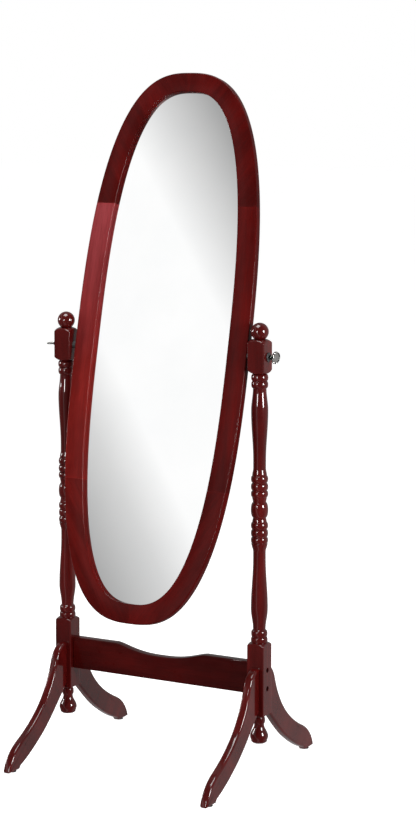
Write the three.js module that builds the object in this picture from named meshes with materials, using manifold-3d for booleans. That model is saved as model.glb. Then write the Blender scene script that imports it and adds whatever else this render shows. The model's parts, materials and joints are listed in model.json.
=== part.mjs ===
// Cheval floor mirror: an oval framed mirror that tilts between two turned posts on splayed legs.
// Millimetres, +Z up, floor at z = 0, the viewer stands at -Y. Left and right are the viewer's.

import * as THREE from 'three';
import { mergeVertices } from 'three/addons/utils/BufferGeometryUtils.js';
import Module from 'manifold-3d';

const wasm = await Module();
wasm.setup();

// ---- Driving dimensions -------------------------------------------------------------------------

const GAP = 0.3; // air between pieces that touch
const BORE_GAP = 0.5; // added to a bore's radius, since its wall is made of flats

const STANCE_WIDTH = 477; // between the axes of the two posts
const STANCE_DEPTH = 498; // from front toe to rear toe
const OVERALL_WIDTH = 571.5; // across the two thumb screws
const POST_SQUARE = 39; // square stock of the posts
const POST_BOTTOM = 73;
const LOW_BLOCK = { bottom: 135, top: 290, shoulder: 7 };
const HIGH_BLOCK = { bottom: 861, top: 934, shoulder: 10 };

const PIVOT_HEIGHT = 896.7;
const TILT = THREE.MathUtils.degToRad(13.2); // how far the mirror's top leans back
const CENTRE_ABOVE_PIVOT = 12.5;

const RIM_HALF_WIDTH = 211.2;
const RIM_HALF_HEIGHT = 595.8;
const RIM_FACE_SIDES = 46.5; // face width of the rim at its sides
const RIM_FACE_ENDS = 41.6; // face width at its top and bottom
const RIM_THICKNESS = 18;
const RIM_LIP = 11; // wood in front of the glass
const RABBET = 9; // how far the rabbet reaches under the rim
const OVAL_POWER = 2.7; // 2 is an ellipse, more is squarer
const RIM_JOINT = 303; // butt joints of the side pieces, above and below the oval's centre
const GLASS_THICKNESS = 3;
const BOARD_THICKNESS = 3;

const LEG_THICKNESS = 18;
const FOOT_LIFT = 2.5; // the toes stand this far up, on their glides
const GLIDE_PLACE = 224; // from the post's axis
const DOWEL = { radius: 4, inLeg: 18, inPost: 14, heights: { lower: 161, upper: 211 } };

const STRETCHER = { bottom: 178, top: 247, thickness: 20, dip: 17, dipHalfLength: 97 };
const BOLT = { radius: 3, headRadius: 5, headLength: 6, sunk: 2.7, tip: 188, heights: { lower: 191, upper: 231 } };
const BARREL_NUT = { radius: 5, length: 15, place: 194 };

const SCREW_RADIUS = 3;
const PIVOT_BORE = 3.6;
const WASHER = { radius: 9.5, thickness: 3 };
const SPACER_RADIUS = 8;
const INSERT = { radius: 4.8, bore: 3.4, length: 15 };

const POST_X = STANCE_WIDTH / 2;
const HALF_BLOCK = POST_SQUARE / 2;
const SIDES = { left: -1, right: 1 };
const ENDS = { front: -1, rear: 1 };

// ---- Materials ----------------------------------------------------------------------------------

function material(name, color, roughness, metalness) {
  return new THREE.MeshStandardMaterial({ name, color, roughness, metalness });
}

const cherryWood = material('cherry_wood', 0x5a120e, 0.3, 0);
const plainWood = material('dowel_wood', 0xb98b5a, 0.7, 0);
const mirrorSilver = material('mirror_glass', 0xd8dadb, 0.03, 1);
const hardboard = material('hardboard', 0x7a5637, 0.85, 0);
const nickel = material('nickel', 0xb9b9b6, 0.25, 1);
const zincSteel = material('zinc_steel', 0x9b9c9e, 0.4, 1);
const blackSteel = material('black_steel', 0x151515, 0.5, 1);
const blackPlastic = material('black_plastic', 0x131416, 0.5, 0);

// ---- Solid helpers ------------------------------------------------------------------------------

function toSolid(geometry) {
  const bare = geometry.clone();
  bare.deleteAttribute('normal');
  bare.deleteAttribute('uv');
  const merged = mergeVertices(bare, 1e-4);
  const corners = merged.index.array;
  const triVerts = [];
  for (let i = 0; i < corners.length; i += 3) {
    const [a, b, c] = corners.slice(i, i + 3);
    if (a !== b && b !== c && c !== a) triVerts.push(a, b, c);
  }
  const vertProperties = Float32Array.from(merged.attributes.position.array);
  return new wasm.Manifold(new wasm.Mesh({ numProp: 3, vertProperties, triVerts: Uint32Array.from(triVerts) }));
}

function toGeometry(solid) {
  const { vertProperties, triVerts } = solid.getMesh();
  const geometry = new THREE.BufferGeometry();
  geometry.setAttribute('position', new THREE.BufferAttribute(Float32Array.from(vertProperties), 3));
  geometry.setIndex(new THREE.BufferAttribute(Uint32Array.from(triVerts), 1));
  geometry.computeVertexNormals();
  return geometry;
}

function cutAll(solid, cutters) {
  return cutters.reduce((rest, cutter) => rest.subtract(cutter), solid);
}

function addMesh(parent, name, solid, surface) {
  const mesh = new THREE.Mesh(toGeometry(solid), surface);
  mesh.name = name;
  parent.add(mesh);
  return mesh;
}

function box(low, high) {
  const size = high.map((value, i) => value - low[i]);
  const centre = high.map((value, i) => (value + low[i]) / 2);
  return toSolid(new THREE.BoxGeometry(...size).translate(...centre));
}

const TO_AXIS = {
  x: (geometry) => geometry.rotateZ(-Math.PI / 2),
  y: (geometry) => geometry,
  z: (geometry) => geometry.rotateX(Math.PI / 2),
};

// A turned solid. The profile lists [radius, distance along the axis] from end to end.
function turned(axis, profile, segments) {
  const points = profile.map(([radius, along]) => new THREE.Vector2(radius, along));
  return toSolid(TO_AXIS[axis](new THREE.LatheGeometry(points, segments)));
}

function rod(axis, radius, from, to, segments = 8) {
  const [low, high] = from < to ? [from, to] : [to, from];
  return turned(axis, [[0, low], [radius, low], [radius, high], [0, high]], segments);
}

function ring(axis, outer, inner, from, to, segments = 16) {
  return rod(axis, outer, from, to, segments).subtract(rod(axis, inner, from - 1, to + 1, 10));
}

function extruded(outline, thickness, bevel = 0, holes = []) {
  const shape = new THREE.Shape(outline);
  shape.holes = holes.map((hole) => new THREE.Path(hole));
  const geometry = new THREE.ExtrudeGeometry(shape, {
    depth: thickness - 2 * bevel,
    bevelEnabled: bevel > 0,
    bevelThickness: bevel,
    bevelSize: bevel,
    bevelOffset: -bevel,
    bevelSegments: 1,
  });
  return toSolid(geometry.translate(0, 0, bevel - thickness / 2));
}

// ---- Posts --------------------------------------------------------------------------------------

// A bead: half an oval bulging from the root radius to the crest radius.
function bead(bottom, top, root, crest, steps = 4) {
  const points = [];
  for (let i = 0; i <= steps; i++) {
    const turn = (Math.PI * i) / steps;
    const along = (bottom + top) / 2 - ((top - bottom) / 2) * Math.cos(turn);
    points.push([root + (crest - root) * Math.sin(turn), along]);
  }
  return points;
}

// A swell: a smooth S-shaped change of radius. The first point belongs to the piece before it.
function swell(fromAlong, fromRadius, toAlong, toRadius, steps = 3) {
  const points = [];
  for (let i = 1; i <= steps; i++) {
    const share = i / steps;
    const eased = (1 - Math.cos(Math.PI * share)) / 2;
    points.push([fromRadius + (toRadius - fromRadius) * eased, fromAlong + (toAlong - fromAlong) * share]);
  }
  return points;
}

function postProfile() {
  const core = 12; // the turned core inside the square blocks
  return [
    [0, POST_BOTTOM],
    [12, POST_BOTTOM],
    [17.2, 77],
    [19.4, 87],
    [17.8, 98],
    [12.6, 108],
    [10.6, 112],
    ...bead(114, 129, 10.8, 12.8),
    [core, 132],
    [core, 287],
    ...bead(288, 301, 15.8, 17.8),
    ...bead(301.6, 315, 15.8, 17.4),
    [13.4, 317],
    ...swell(317, 13.4, 362, 18.1),
    ...swell(362, 18.1, 470, 13.4),
    [13.4, 483],
    [14.6, 492],
    [16.8, 500],
    ...bead(502, 514, 17, 18.2),
    ...bead(515.5, 530.5, 16.2, 18.2),
    ...bead(532, 546, 16.2, 18.2),
    [14.2, 554],
    ...bead(557, 588, 14.2, 18.4),
    [14.2, 590],
    ...bead(600, 613, 16.2, 18.3),
    ...bead(614.5, 629, 16.2, 18.3),
    ...bead(631, 645, 16.2, 18.2),
    [14.8, 652],
    [13.5, 661],
    [13.5, 676],
    ...swell(676, 13.5, 783, 18.1),
    ...swell(783, 18.1, 830, 14.3),
    ...bead(831, 845.5, 15.6, 17.9),
    ...bead(846, 860, 15.6, 18.1),
    [core, 862],
    [core, 934],
    ...finialBall(949.5, 19),
  ];
}

function finialBall(centre, radius) {
  const points = [];
  const from = THREE.MathUtils.degToRad(-55);
  const steps = 6;
  for (let i = 0; i < steps; i++) {
    const lift = from + ((Math.PI / 2 - from) * i) / steps;
    points.push([radius * Math.cos(lift), centre + radius * Math.sin(lift)]);
  }
  return [...points, [0, centre + radius]];
}

// A square block whose ends are turned to a rounded shoulder. An end with no shoulder is sawn flat.
function squareBlock(bottom, top, bottomShoulder, topShoulder) {
  const cornerRadius = Math.hypot(HALF_BLOCK, HALF_BLOCK);
  const shoulder = (end, inward, drop) => {
    if (drop === 0) return [[cornerRadius + 1, end]];
    return [
      [HALF_BLOCK - 5, end],
      [HALF_BLOCK, end + inward * drop * 0.12],
      [HALF_BLOCK + 5, end + inward * drop * 0.5],
      [cornerRadius + 0.2, end + inward * drop],
    ];
  };
  const low = shoulder(bottom, 1, bottomShoulder);
  const high = shoulder(top, -1, topShoulder).reverse();
  const blank = turned('z', [[0, bottom], ...low, ...high, [0, top]], 28);
  return blank.intersect(box([-HALF_BLOCK, -HALF_BLOCK, bottom - 1], [HALF_BLOCK, HALF_BLOCK, top + 1]));
}

function buildPost(side) {
  const outward = SIDES[side];
  const face = outward * HALF_BLOCK;
  const sunkHead = outward * (HALF_BLOCK - BOLT.sunk - BOLT.headLength - GAP);
  const blank = turned('z', postProfile(), 12)
    .add(squareBlock(LOW_BLOCK.bottom, LOW_BLOCK.top, 0, LOW_BLOCK.shoulder))
    .add(squareBlock(HIGH_BLOCK.bottom, HIGH_BLOCK.top, HIGH_BLOCK.shoulder, HIGH_BLOCK.shoulder));
  const cutters = [rod('x', PIVOT_BORE, -face * 1.1, face * 1.1, 10).translate(0, 0, PIVOT_HEIGHT)];
  for (const height of Object.values(BOLT.heights)) {
    cutters.push(rod('x', BOLT.radius + BORE_GAP, -face * 1.1, face * 1.1).translate(0, 0, height));
    cutters.push(rod('x', BOLT.headRadius + 2 * GAP, sunkHead, face * 1.1).translate(0, 0, height));
  }
  for (const end of Object.values(ENDS)) {
    for (const height of Object.values(DOWEL.heights)) {
      const depth = HALF_BLOCK - DOWEL.inPost - GAP;
      cutters.push(rod('y', DOWEL.radius + BORE_GAP, end * depth, end * (HALF_BLOCK + 1)).translate(0, 0, height));
    }
  }
  return cutAll(blank, cutters);
}

// ---- Legs ---------------------------------------------------------------------------------------

// The outline of a leg sawn from board, as [reach from the post's axis, height].
function legOutline() {
  const toe = STANCE_DEPTH / 2;
  const inside = HALF_BLOCK - 6; // the outline starts inside the post and is trimmed to its face
  const path = new THREE.Shape();
  path.moveTo(inside, 136);
  path.lineTo(inside, 237);
  path.lineTo(24, 236.5);
  path.bezierCurveTo(40, 233, 51, 221, 58, 206); // knee
  path.bezierCurveTo(78, 144, 118, 97, 199, 60); // hollow of the back
  path.bezierCurveTo(224, 48, 242, 30, toe, 3 + FOOT_LIFT); // instep
  path.lineTo(toe - 2, FOOT_LIFT);
  path.lineTo(209, FOOT_LIFT); // sole
  path.lineTo(203, 10);
  path.bezierCurveTo(182, 16, 152, 32, 128, 48);
  path.bezierCurveTo(88, 72, 48, 116, HALF_BLOCK, 141); // belly
  return path.getPoints(6);
}

function buildLeg() {
  const standing = extruded(legOutline(), LEG_THICKNESS, 3);
  const trimmed = standing
    .rotate([90, 0, 90])
    .subtract(box([-LEG_THICKNESS, 0, 0], [LEG_THICKNESS, HALF_BLOCK + GAP, 300]));
  const cutters = [rod('z', 2.8, FOOT_LIFT - 1, 18).translate(0, GLIDE_PLACE, 0)];
  for (const height of Object.values(DOWEL.heights)) {
    const depth = HALF_BLOCK + DOWEL.inLeg + GAP;
    cutters.push(rod('y', DOWEL.radius + BORE_GAP, HALF_BLOCK, depth).translate(0, 0, height));
  }
  return cutAll(trimmed, cutters);
}

function buildDowel() {
  const from = HALF_BLOCK - DOWEL.inPost;
  const to = HALF_BLOCK + DOWEL.inLeg;
  const chamfer = 1;
  return turned('y', [
    [0, from],
    [DOWEL.radius - chamfer, from],
    [DOWEL.radius, from + chamfer],
    [DOWEL.radius, to - chamfer],
    [DOWEL.radius - chamfer, to],
    [0, to],
  ], 10);
}

// A plastic glide: a round pad under the toe with a pin up into the wood.
function buildGlide() {
  const padTop = FOOT_LIFT - GAP;
  return turned('z', [[0, 0], [7, 0], [8, 1], [8, padTop], [2.2, padTop], [2.2, 14], [0, 16]], 10);
}

// ---- Stretcher and its bolts --------------------------------------------------------------------

function stretcherOutline() {
  const end = POST_X - HALF_BLOCK - GAP;
  const { bottom, top, dip, dipHalfLength } = STRETCHER;
  const radius = (dipHalfLength ** 2 + dip ** 2) / (2 * dip);
  const spread = Math.asin(dipHalfLength / radius);
  const path = new THREE.Shape();
  path.moveTo(-end, bottom);
  path.lineTo(end, bottom);
  path.lineTo(end, top);
  path.absarc(0, top - dip + radius, radius, -Math.PI / 2 + spread, -Math.PI / 2 - spread, true);
  path.lineTo(-end, top);
  return path.getPoints(7);
}

function buildStretcher() {
  const board = extruded(stretcherOutline(), STRETCHER.thickness, 1.5).rotate([90, 0, 0]);
  const cutters = [];
  for (const outward of Object.values(SIDES)) {
    for (const height of Object.values(BOLT.heights)) {
      const bore = rod('x', BOLT.radius + BORE_GAP, outward * (BOLT.tip - 2), outward * POST_X);
      const nutHole = rod('y', BARREL_NUT.radius + BORE_GAP, -7, STRETCHER.thickness);
      cutters.push(bore.translate(0, 0, height));
      cutters.push(nutHole.translate(outward * BARREL_NUT.place, 0, height));
    }
  }
  return cutAll(board, cutters);
}

// A socket-head bolt lying along X with its head outward.
function buildStretcherBolt(outward) {
  const headEnd = POST_X + HALF_BLOCK - BOLT.sunk;
  const neck = headEnd - BOLT.headLength;
  const socket = turned('x', [[0, -4], [2.9, -4], [2.9, 1], [0, 1]], 6).translate(headEnd, 0, 0);
  const bolt = turned('x', [
    [0, BOLT.tip],
    [BOLT.radius - 0.6, BOLT.tip],
    [BOLT.radius, BOLT.tip + 1],
    [BOLT.radius, neck],
    [BOLT.headRadius, neck],
    [BOLT.headRadius, headEnd],
    [0, headEnd],
  ], 10).subtract(socket);
  return outward > 0 ? bolt : bolt.rotate([0, 0, 180]);
}

function buildBarrelNut() {
  const from = -6;
  const nut = rod('y', BARREL_NUT.radius, from, from + BARREL_NUT.length, 10);
  return nut.subtract(rod('x', BOLT.radius + BORE_GAP, -8, 8));
}

// ---- Mirror, drawn in its own plane: x across, y up, z towards the viewer ------------------------

// An oval between an ellipse and a rectangle, walked at even turns of its angle.
function ovalOutline(halfWidth, halfHeight, steps = 56) {
  const points = [];
  for (let i = 0; i < steps; i++) {
    const angle = (2 * Math.PI * i) / steps;
    const across = Math.cos(angle);
    const upward = Math.sin(angle);
    const bend = 2 / OVAL_POWER;
    points.push(new THREE.Vector2(
      halfWidth * Math.sign(across) * Math.abs(across) ** bend,
      halfHeight * Math.sign(upward) * Math.abs(upward) ** bend,
    ));
  }
  return points;
}

const OPENING_HALF_WIDTH = RIM_HALF_WIDTH - RIM_FACE_SIDES;
const OPENING_HALF_HEIGHT = RIM_HALF_HEIGHT - RIM_FACE_ENDS;
const GLASS_FRONT = RIM_THICKNESS / 2 - RIM_LIP - GAP;
const BOARD_FRONT = GLASS_FRONT - GLASS_THICKNESS - GAP;
const RIM_BACK = -RIM_THICKNESS / 2;
const CLIP_THICKNESS = 1.2;
const CLIP_TURNS = [0, 58, 122, 180, 238, 302].map(THREE.MathUtils.degToRad);

// Where a retaining clip's screw stands, outside the rabbet, at a turn around the oval.
function clipPlace(turn) {
  const bend = 2 / OVAL_POWER;
  const outside = RABBET + 10;
  const across = Math.cos(turn);
  const upward = Math.sin(turn);
  const x = (OPENING_HALF_WIDTH + outside) * Math.sign(across) * Math.abs(across) ** bend;
  const y = (OPENING_HALF_HEIGHT + outside) * Math.sign(upward) * Math.abs(upward) ** bend;
  return { x: Math.abs(across) < 1e-9 ? 0 : x, y: Math.abs(upward) < 1e-9 ? 0 : y };
}

function buildRimBlank() {
  const outer = ovalOutline(RIM_HALF_WIDTH, RIM_HALF_HEIGHT);
  const opening = ovalOutline(OPENING_HALF_WIDTH, OPENING_HALF_HEIGHT).reverse();
  const rabbet = extruded(ovalOutline(OPENING_HALF_WIDTH + RABBET, OPENING_HALF_HEIGHT + RABBET), RIM_THICKNESS);
  const cutters = [rabbet.translate(0, 0, -RIM_LIP)];
  for (const outward of Object.values(SIDES)) {
    const bore = rod('x', INSERT.radius + BORE_GAP, outward * (RIM_HALF_WIDTH - 17), outward * (RIM_HALF_WIDTH + 1));
    cutters.push(bore.translate(0, -CENTRE_ABOVE_PIVOT, 0));
  }
  for (const turn of CLIP_TURNS) {
    const { x, y } = clipPlace(turn);
    cutters.push(rod('z', 1.8, RIM_BACK - 1, RIM_BACK + 11, 8).translate(x, y, 0));
  }
  return cutAll(extruded(outer, RIM_THICKNESS, 2, [opening]), cutters);
}

// The rim is sawn from six pieces that meet in butt joints.
const RIM_PIECES = {
  rim_top_left: { x: [-300, 0], y: [RIM_JOINT, 700] },
  rim_top_right: { x: [0, 300], y: [RIM_JOINT, 700] },
  rim_left_side: { x: [-300, 0], y: [-RIM_JOINT, RIM_JOINT] },
  rim_right_side: { x: [0, 300], y: [-RIM_JOINT, RIM_JOINT] },
  rim_bottom_left: { x: [-300, 0], y: [-700, -RIM_JOINT] },
  rim_bottom_right: { x: [0, 300], y: [-700, -RIM_JOINT] },
};

function sheetBehindRim(front, thickness) {
  const edge = RABBET - 0.6;
  const sheet = extruded(ovalOutline(OPENING_HALF_WIDTH + edge, OPENING_HALF_HEIGHT + edge), thickness);
  return sheet.translate(0, 0, front - thickness / 2);
}

// A flat steel turn button: one end on the rim under its screw, the other over the board.
function buildClip() {
  const reach = 20;
  const halfWidth = 5;
  const path = new THREE.Shape();
  path.absarc(0, 0, halfWidth, Math.PI / 2, -Math.PI / 2, true);
  path.absarc(-reach, 0, halfWidth, -Math.PI / 2, -1.5 * Math.PI, true);
  const plate = extruded(path.getPoints(4), CLIP_THICKNESS);
  const middle = RIM_BACK - GAP - CLIP_THICKNESS / 2;
  return plate.translate(0, 0, middle).subtract(rod('z', 1.8, -20, 0, 8));
}

function buildClipScrew() {
  const underHead = RIM_BACK - 2 * GAP - CLIP_THICKNESS;
  return turned('z', [
    [0, underHead - 2],
    [2.4, underHead - 1.8],
    [3.5, underHead],
    [1.4, underHead],
    [1.4, RIM_BACK + 8],
    [0, RIM_BACK + 10],
  ], 8);
}

function buildInsert(outward) {
  const outerEnd = RIM_HALF_WIDTH - 0.5;
  const insert = ring('x', INSERT.radius, INSERT.bore, outerEnd - INSERT.length, outerEnd, 10);
  return outward > 0 ? insert : insert.rotate([0, 0, 180]);
}

// ---- Pivot hardware, along X on the pivot axis ---------------------------------------------------

const SPACER_FROM = RIM_HALF_WIDTH + GAP;
const SPACER_TO = POST_X - HALF_BLOCK - GAP;
const WASHER_FROM = POST_X + HALF_BLOCK + GAP;
const WASHER_TO = WASHER_FROM + WASHER.thickness;

// A thumb screw: a plain shank, a collar against the washer and a flat rounded grip.
function buildThumbscrew() {
  const collarFrom = WASHER_TO + GAP;
  const gripFrom = collarFrom + 5;
  const gripTo = OVERALL_WIDTH / 2;
  const tip = RIM_HALF_WIDTH - 12;
  const shank = turned('x', [
    [0, tip],
    [SCREW_RADIUS - 0.8, tip],
    [SCREW_RADIUS, tip + 1.5],
    [SCREW_RADIUS, collarFrom],
    [4.6, collarFrom],
    [4.6, gripFrom + 1],
    [3, gripFrom + 5],
    [0, gripFrom + 6],
  ], 10);
  const widest = gripFrom + 10;
  const roundedEnd = widest + (4 / 3) * (gripTo - widest);
  const grip = new THREE.Shape();
  grip.moveTo(gripFrom, -5);
  grip.bezierCurveTo(gripFrom + 3, -13, gripFrom + 7, -13.5, widest, -13.5);
  grip.bezierCurveTo(roundedEnd, -11, roundedEnd, 11, widest, 13.5);
  grip.bezierCurveTo(gripFrom + 7, 13.5, gripFrom + 3, 13, gripFrom, 5);
  return shank.add(extruded(grip.getPoints(6), 2.6, 0.6));
}

// ---- Assembly -----------------------------------------------------------------------------------

const chevalMirror = new THREE.Group();

function addStand() {
  const leg = buildLeg();
  const dowel = buildDowel();
  const glide = buildGlide();
  for (const [side, outward] of Object.entries(SIDES)) {
    const place = (mesh) => mesh.position.setX(outward * POST_X);
    place(addMesh(chevalMirror, `${side}_post`, buildPost(side), cherryWood));
    for (const [end, direction] of Object.entries(ENDS)) {
      const turn = direction > 0 ? 0 : 180;
      const corner = `${end}_${side}`;
      place(addMesh(chevalMirror, `${corner}_leg`, leg.rotate([0, 0, turn]), cherryWood));
      const glideMesh = addMesh(chevalMirror, `${corner}_foot_glide`, glide, blackPlastic);
      glideMesh.position.set(outward * POST_X, direction * GLIDE_PLACE, 0);
      for (const [level, height] of Object.entries(DOWEL.heights)) {
        const pin = addMesh(chevalMirror, `${corner}_${level}_dowel`, dowel.rotate([0, 0, turn]), plainWood);
        place(pin).setZ(height);
      }
    }
    for (const [level, height] of Object.entries(BOLT.heights)) {
      const bolt = addMesh(chevalMirror, `${side}_${level}_stretcher_bolt`, buildStretcherBolt(outward), blackSteel);
      bolt.position.setZ(height);
      const nut = addMesh(chevalMirror, `${side}_${level}_barrel_nut`, buildBarrelNut(), zincSteel);
      nut.position.set(outward * BARREL_NUT.place, 0, height);
    }
  }
  addMesh(chevalMirror, 'stretcher', buildStretcher(), cherryWood);
}

function addMirror() {
  const plane = new THREE.Group();
  plane.position.set(0, 0, PIVOT_HEIGHT);
  plane.rotation.x = Math.PI / 2 - TILT;
  chevalMirror.add(plane);
  const oval = new THREE.Group();
  oval.position.y = CENTRE_ABOVE_PIVOT;
  plane.add(oval);

  const rim = buildRimBlank();
  for (const [name, { x, y }] of Object.entries(RIM_PIECES)) {
    const low = [x[0] + GAP / 2, y[0] + GAP / 2, -20];
    const high = [x[1] - GAP / 2, y[1] - GAP / 2, 20];
    addMesh(oval, name, rim.intersect(box(low, high)), cherryWood);
  }
  addMesh(oval, 'mirror_glass', sheetBehindRim(GLASS_FRONT, GLASS_THICKNESS), mirrorSilver);
  addMesh(oval, 'backing_board', sheetBehindRim(BOARD_FRONT, BOARD_THICKNESS), hardboard);

  CLIP_TURNS.forEach((turn, index) => {
    const { x, y } = clipPlace(turn);
    const clip = addMesh(oval, `retaining_clip_${index + 1}`, buildClip(), zincSteel);
    clip.position.set(x, y, 0);
    clip.rotation.z = Math.atan2(y, x * 3);
    const screw = addMesh(oval, `clip_screw_${index + 1}`, buildClipScrew(), zincSteel);
    screw.position.set(x, y, 0);
  });

  for (const [side, outward] of Object.entries(SIDES)) {
    addMesh(plane, `${side}_pivot_insert`, buildInsert(outward), zincSteel);
  }
}

function addPivotHardware() {
  const gripTurn = { left: 90, right: -20 }; // the right grip stands nearly upright, the left one lies flat
  for (const [side, outward] of Object.entries(SIDES)) {
    const facing = outward > 0 ? 0 : 180;
    const spacer = ring('x', SPACER_RADIUS, PIVOT_BORE, SPACER_FROM, SPACER_TO).rotate([0, 0, facing]);
    const washer = ring('x', WASHER.radius, PIVOT_BORE, WASHER_FROM, WASHER_TO).rotate([0, 0, facing]);
    const upright = buildThumbscrew().rotate([90 + gripTurn[side], 0, 0]);
    const pieces = {
      [`${side}_pivot_spacer`]: [spacer, blackPlastic],
      [`${side}_pivot_washer`]: [washer, blackPlastic],
      [`${side}_thumbscrew`]: [upright.rotate([0, 0, facing]), nickel],
    };
    for (const [name, [solid, surface]] of Object.entries(pieces)) {
      addMesh(chevalMirror, name, solid, surface).position.setZ(PIVOT_HEIGHT);
    }
  }
}

addStand();
addMirror();
addPivotHardware();

export default chevalMirror;
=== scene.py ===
"""Looks of a cheval floor mirror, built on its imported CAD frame.

Metres, +Z up, floor at z = 0, the viewer stands at -Y. Left and right are the viewer's.
Shapes are drawn in millimetres where that reads better, and MM turns them into metres.
"""

import json
import math

import bpy
from mathutils import Matrix, Vector


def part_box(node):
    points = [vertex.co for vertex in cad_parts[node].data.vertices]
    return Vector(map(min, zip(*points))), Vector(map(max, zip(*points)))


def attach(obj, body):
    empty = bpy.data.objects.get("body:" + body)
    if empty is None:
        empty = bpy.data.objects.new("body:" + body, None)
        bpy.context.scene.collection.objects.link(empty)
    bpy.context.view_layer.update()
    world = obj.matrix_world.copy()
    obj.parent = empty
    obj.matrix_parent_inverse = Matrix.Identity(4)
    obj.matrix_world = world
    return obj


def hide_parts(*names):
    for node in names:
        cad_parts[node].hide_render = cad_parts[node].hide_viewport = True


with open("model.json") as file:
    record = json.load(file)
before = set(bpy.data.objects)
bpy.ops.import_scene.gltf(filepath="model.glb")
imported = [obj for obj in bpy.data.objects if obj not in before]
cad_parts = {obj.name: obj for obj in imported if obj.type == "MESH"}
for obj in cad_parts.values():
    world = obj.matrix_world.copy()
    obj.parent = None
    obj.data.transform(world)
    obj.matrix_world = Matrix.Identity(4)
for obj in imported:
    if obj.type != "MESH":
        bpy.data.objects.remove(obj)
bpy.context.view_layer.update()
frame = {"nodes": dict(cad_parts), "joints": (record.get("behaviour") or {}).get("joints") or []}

MM = 0.001
SIDES = {"left": -1, "right": 1}
ENDS = {"front": -1, "rear": 1}
SHARP_ANGLE = math.radians(38)
GAP = 0.3 * MM  # clearance between pieces that meet

# Radii of the holes
PIVOT_BORE = 3.6 * MM
DOWEL_BORE = 4.5 * MM
BOLT_BORE = 3.5 * MM
BOLT_HEAD_SEAT = 5.6 * MM
BARREL_NUT_BORE = 5.5 * MM
GLIDE_PIN_BORE = 2.8 * MM
INSERT_BORE = 5.3 * MM
CLIP_SCREW_BORE = 1.8 * MM

# ---- Places, from the frame ---------------------------------------------------------------------

pivot = Vector(next(j for j in frame["joints"] if j["name"] == "mirror_tilt")["pos_m"])
post_low, post_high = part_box("right_post")
post_x = (post_low.x + post_high.x) / 2
half_block = (post_high.x - post_low.x) / 2
stretcher_low, stretcher_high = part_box("stretcher")

LEAN = math.radians(13.2)  # how far the mirror's top leans back at rest
CENTRE_ABOVE_PIVOT = 12.5 * MM
MIRROR_PLANE = (
    Matrix.Translation(pivot)
    @ Matrix.Rotation(math.pi / 2 - LEAN, 4, "X")
    @ Matrix.Translation((0, CENTRE_ABOVE_PIVOT, 0))
)


def centre_of(node):
    low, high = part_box(node)
    return (low + high) / 2


# ---- Material helpers ---------------------------------------------------------------------------


def new_material(name):
    material = bpy.data.materials.new(name)
    material.use_nodes = True
    tree = material.node_tree
    return material, tree, tree.nodes["Principled BSDF"]


def add_node(tree, kind, **inputs):
    node = tree.nodes.new(kind)
    for name, value in inputs.items():
        node.inputs[name.replace("_", " ")].default_value = value
    return node


def noise(tree, vector, scale, detail=4.0, roughness=0.55):
    node = add_node(tree, "ShaderNodeTexNoise", Scale=scale, Detail=detail, Roughness=roughness)
    tree.links.new(vector, node.inputs["Vector"])
    return node.outputs["Fac"]


def stretched(tree, vector, scale, rotation=(0, 0, 0)):
    """Coordinates turned first and scaled after, so that the stretch follows the turned axes."""
    turned = add_node(tree, "ShaderNodeMapping", Rotation=rotation)
    tree.links.new(vector, turned.inputs["Vector"])
    node = add_node(tree, "ShaderNodeMapping", Scale=scale)
    tree.links.new(turned.outputs["Vector"], node.inputs["Vector"])
    return node.outputs["Vector"]


def ramp(tree, factor, stops):
    node = tree.nodes.new("ShaderNodeValToRGB")
    node.color_ramp.elements[0].position = stops[0][0]
    node.color_ramp.elements[0].color = (*stops[0][1], 1)
    node.color_ramp.elements[1].position = stops[-1][0]
    node.color_ramp.elements[1].color = (*stops[-1][1], 1)
    for place, colour in stops[1:-1]:
        node.color_ramp.elements.new(place).color = (*colour, 1)
    tree.links.new(factor, node.inputs["Fac"])
    return node.outputs["Color"]


def spread(tree, factor, low, high, from_low=0.3, from_high=0.7):
    """A factor spread over another range, held at its ends."""
    node = tree.nodes.new("ShaderNodeMapRange")
    node.inputs["From Min"].default_value = from_low
    node.inputs["From Max"].default_value = from_high
    node.inputs["To Min"].default_value = low
    node.inputs["To Max"].default_value = high
    tree.links.new(factor, node.inputs["Value"])
    return node.outputs["Result"]


def mix_colour(tree, factor, first, second, blend="MIX"):
    node = tree.nodes.new("ShaderNodeMix")
    node.data_type = "RGBA"
    node.blend_type = blend
    factor_in, first_in, second_in = node.inputs[0], node.inputs[6], node.inputs[7]
    for value, socket in ((factor, factor_in), (first, first_in), (second, second_in)):
        if isinstance(value, bpy.types.NodeSocket):
            tree.links.new(value, socket)
        elif isinstance(value, tuple):
            socket.default_value = (*value, 1)
        else:
            socket.default_value = value
    return node.outputs[2]


def bump(tree, shader, height, strength, distance):
    node = add_node(tree, "ShaderNodeBump", Strength=strength, Distance=distance)
    tree.links.new(height, node.inputs["Height"])
    tree.links.new(node.outputs["Normal"], shader.inputs["Normal"])


# ---- Materials ----------------------------------------------------------------------------------

STAIN = (0.046, 0.0014, 0.0011)  # deep cherry red
DEEP_STAIN = (0.050, 0.0022, 0.0019)  # the turned parts and the legs
# the left rim side's brighter red: partly lighter wood, partly painted sheen where that side catches the
# light
TONE_AND_SHEEN_STAIN = (0.094, 0.0045, 0.0035)
PAINTED_SHEEN = (0.172, 0.0250, 0.0290)  # painted sheen: the pale pink laid on the upper part of the left rim where the lacquer catches the light


def scaled(colour, factor):
    return tuple(factor * channel for channel in colour)


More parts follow.
